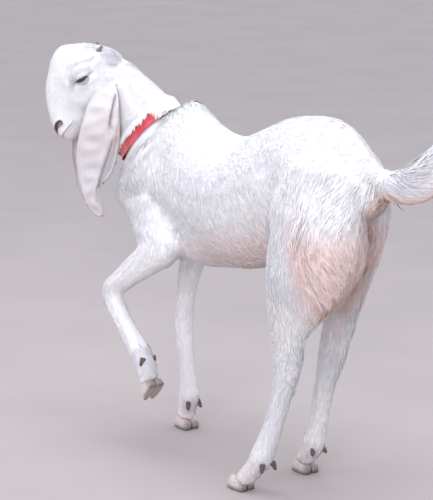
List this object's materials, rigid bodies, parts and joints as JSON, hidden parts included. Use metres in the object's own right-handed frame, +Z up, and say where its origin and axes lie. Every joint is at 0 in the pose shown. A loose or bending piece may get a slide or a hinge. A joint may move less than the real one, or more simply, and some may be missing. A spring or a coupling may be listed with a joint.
{
  "type": "young lop-eared goat",
  "caption": "Life-size still model of a slim young white goat with long hanging ears and a red collar, head turned and one foreleg raised.",
  "frame": {"origin": "middle of the model's box on the floor that the goat stands on", "axes": "the goat faces -Y, its left side is +X and +Z is up"},
  "size_m": [0.3138, 1.051, 0.823],
  "materials": {
    "coat": "short white hair lying flat, long on thighs and tail",
    "ear_skin": "very short white hair over pink skin",
    "eye": "wet and glossy",
    "horn": "dull grey horn",
    "claw": "dull brown-grey hoof horn",
    "collar": "woven red webbing"
  },
  "bodies": {
    "root": {"claw_inner_foreleg_left": "claw", "claw_inner_foreleg_right": "claw", "claw_inner_hindleg_left": "claw", "claw_inner_hindleg_right": "claw", "claw_outer_foreleg_left": "claw", "claw_outer_foreleg_right": "claw", "claw_outer_hindleg_left": "claw", "claw_outer_hindleg_right": "claw", "collar": "collar", "dewclaw_inner_foreleg_left": "claw", "dewclaw_inner_foreleg_right": "claw", "dewclaw_inner_hindleg_left": "claw", "dewclaw_inner_hindleg_right": "claw", "dewclaw_outer_foreleg_left": "claw", "dewclaw_outer_foreleg_right": "claw", "dewclaw_outer_hindleg_left": "claw", "dewclaw_outer_hindleg_right": "claw", "ear_left": "ear_skin", "ear_right": "ear_skin", "eye_left": "eye", "eye_right": "eye", "foreleg_left": "coat", "foreleg_right": "coat", "head": "coat", "hindleg_left": "coat", "hindleg_right": "coat", "horn_left": "horn", "horn_right": "horn", "neck": "coat", "tail": "coat", "trunk": "coat"}
  },
  "joints": []
}
